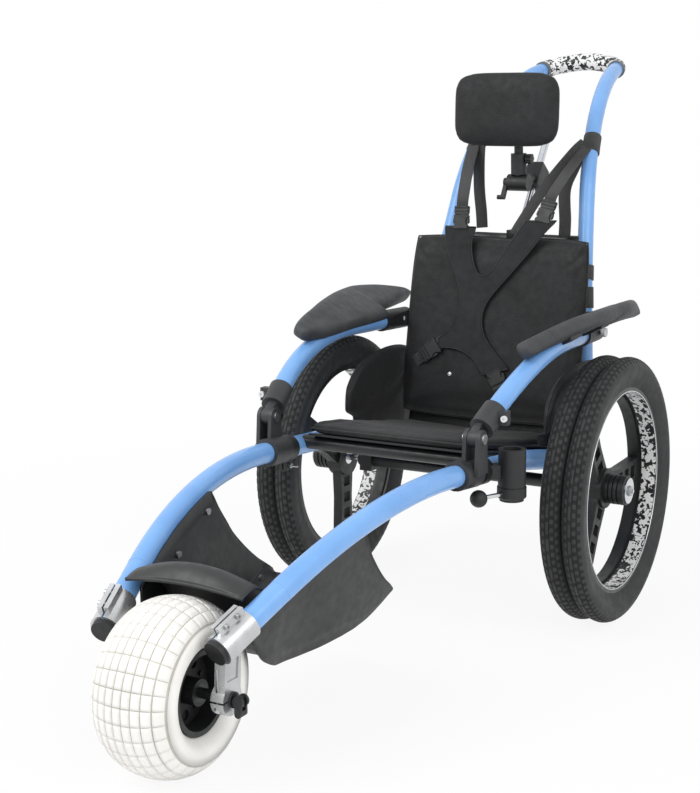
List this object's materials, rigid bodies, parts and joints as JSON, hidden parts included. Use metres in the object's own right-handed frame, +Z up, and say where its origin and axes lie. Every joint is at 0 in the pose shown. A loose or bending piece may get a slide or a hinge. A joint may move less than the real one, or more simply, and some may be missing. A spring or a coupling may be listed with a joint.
{
  "type": "beach wheelchair",
  "caption": "Long low beach wheelchair with twin rear tyres, a wide ribbed front tyre, a foot trough, padded seat, harness, headrest, lifting armrests and a folding backrest.",
  "frame": {"origin": "middle of the outline on the floor", "axes": "+Z up, -Y toward the front wheel, +X toward the user's left"},
  "size_m": [0.6924, 1.7426, 1.0674],
  "materials": {
    "blue_paint": "gloss",
    "cast_alloy": "satin",
    "steel": "satin",
    "chrome": "polished",
    "black_metal": "satin",
    "black_plastic": "matt",
    "white_tyre": "matt",
    "black_tyre": "matt",
    "black_cloth": "woven",
    "webbing": "woven",
    "grey_pad": "matt",
    "print_grip": "matt",
    "grey_rubber": "matt"
  },
  "bodies": {
    "chassis": {"side_rails": "blue_paint", "fork_arms": "cast_alloy", "frame_screws": "steel", "rail_plugs": "black_plastic", "front_axle": "black_metal", "rear_axle_tube": "black_metal", "stub_axles": "steel", "rear_castings": "black_plastic", "pivot_pins": "steel", "knuckles": "black_plastic", "rail_clips": "black_plastic", "accessory_socket": "black_plastic", "foot_trough": "black_plastic", "cross_tubes": "black_metal", "seat_pan": "black_metal", "seat_cushion": "black_cloth", "side_bolsters": "black_cloth"},
    "axle_lever": {"axle_lever": "black_plastic"},
    "front_wheel": {"front_tyre": "white_tyre", "front_rim": "black_plastic", "front_fittings": "steel"},
    "wheel_left": {"tyres_left": "black_tyre", "wheel_rim_left": "black_plastic", "spider_left": "black_plastic", "hub_metal_left": "steel"},
    "wheel_right": {"tyres_right": "black_tyre", "wheel_rim_right": "black_plastic", "spider_right": "black_plastic", "hub_metal_right": "steel"},
    "button_left": {"button_left": "black_plastic"},
    "button_right": {"button_right": "black_plastic"},
    "lock_lever": {"lock_rod": "chrome", "lock_handle": "black_plastic"},
    "backrest": {"push_bar": "blue_paint", "grip": "print_grip", "grip_rings": "grey_rubber", "lock_collars": "black_plastic", "back_cross": "black_metal", "back_panel": "black_cloth", "harness": "black_cloth", "buckles": "black_plastic", "webbing": "webbing", "head_post": "chrome"},
    "head_slider": {"head_block": "black_plastic", "head_stem": "black_plastic"},
    "head_knob": {"head_knob": "black_plastic"},
    "head_lever": {"head_lever": "black_plastic"},
    "headrest": {"head_pad": "black_cloth", "head_plate": "black_plastic"},
    "armrest_left": {"arm_tube_left": "blue_paint", "arm_knuckle_left": "black_plastic", "arm_fasteners_left": "steel", "arm_mounts_left": "black_plastic", "arm_pad_left": "grey_pad"},
    "armrest_right": {"arm_tube_right": "blue_paint", "arm_knuckle_right": "black_plastic", "arm_fasteners_right": "steel", "arm_mounts_right": "black_plastic", "arm_pad_right": "grey_pad"}
  },
  "joints": [
    {"name": "axle_lever_flip", "type": "hinge", "parent": "chassis", "child": "axle_lever", "pos_m": [0.12, -0.73749, 0.134], "axis": [0, -1, 0], "range_deg": [0, 110]},
    {"name": "front_wheel_spin", "type": "hinge", "parent": "chassis", "child": "front_wheel", "pos_m": [0, -0.73749, 0.134], "axis": [1, 0, 0], "continuous": true},
    {"name": "wheel_left_spin", "type": "hinge", "parent": "chassis", "child": "wheel_left", "pos_m": [0.297, 0.25051, 0.25], "axis": [1, 0, 0], "continuous": true},
    {"name": "wheel_right_spin", "type": "hinge", "parent": "chassis", "child": "wheel_right", "pos_m": [-0.297, 0.25051, 0.25], "axis": [1, 0, 0], "continuous": true},
    {"name": "button_left_press", "type": "slide", "parent": "chassis", "child": "button_left", "axis": [-1, 0, 0], "range_m": [0, 0.003], "stiffness_N_per_m": 800, "springref_m": -0.002},
    {"name": "button_right_press", "type": "slide", "parent": "chassis", "child": "button_right", "axis": [1, 0, 0], "range_m": [0, 0.003], "stiffness_N_per_m": 800, "springref_m": -0.002},
    {"name": "lock_lever_turn", "type": "hinge", "parent": "chassis", "child": "lock_lever", "pos_m": [0.24099, -0.07146, 0.30704], "axis": [0, 0, 1], "range_deg": [-10, 75]},
    {"name": "back_fold", "type": "hinge", "parent": "chassis", "child": "backrest", "pos_m": [0, 0.43151, 0.398], "axis": [1, 0, 0], "range_deg": [0, 70]},
    {"name": "head_height", "type": "slide", "parent": "backrest", "child": "head_slider", "axis": [0, 0.5812, 0.8137], "range_m": [-0.035, 0.045]},
    {"name": "head_tilt", "type": "hinge", "parent": "head_slider", "child": "headrest", "pos_m": [0, 0.48348, 0.938], "axis": [1, 0, 0], "range_deg": [-12, 18]},
    {"name": "head_knob_turn", "type": "hinge", "parent": "head_slider", "child": "head_knob", "pos_m": [0, 0.48798, 0.85143], "axis": [1, 0, 0], "continuous": true},
    {"name": "head_lever_turn", "type": "hinge", "parent": "head_slider", "child": "head_lever", "pos_m": [0, 0.49049, 0.803], "axis": [1, 0, 0], "range_deg": [-25, 25]},
    {"name": "armrest_left_lift", "type": "hinge", "parent": "chassis", "child": "armrest_left", "pos_m": [0.205, -0.14549, 0.412], "axis": [1, 0, 0], "range_deg": [0, 95]},
    {"name": "armrest_right_lift", "type": "hinge", "parent": "chassis", "child": "armrest_right", "pos_m": [-0.205, -0.14549, 0.412], "axis": [1, 0, 0], "range_deg": [0, 95]}
  ]
}
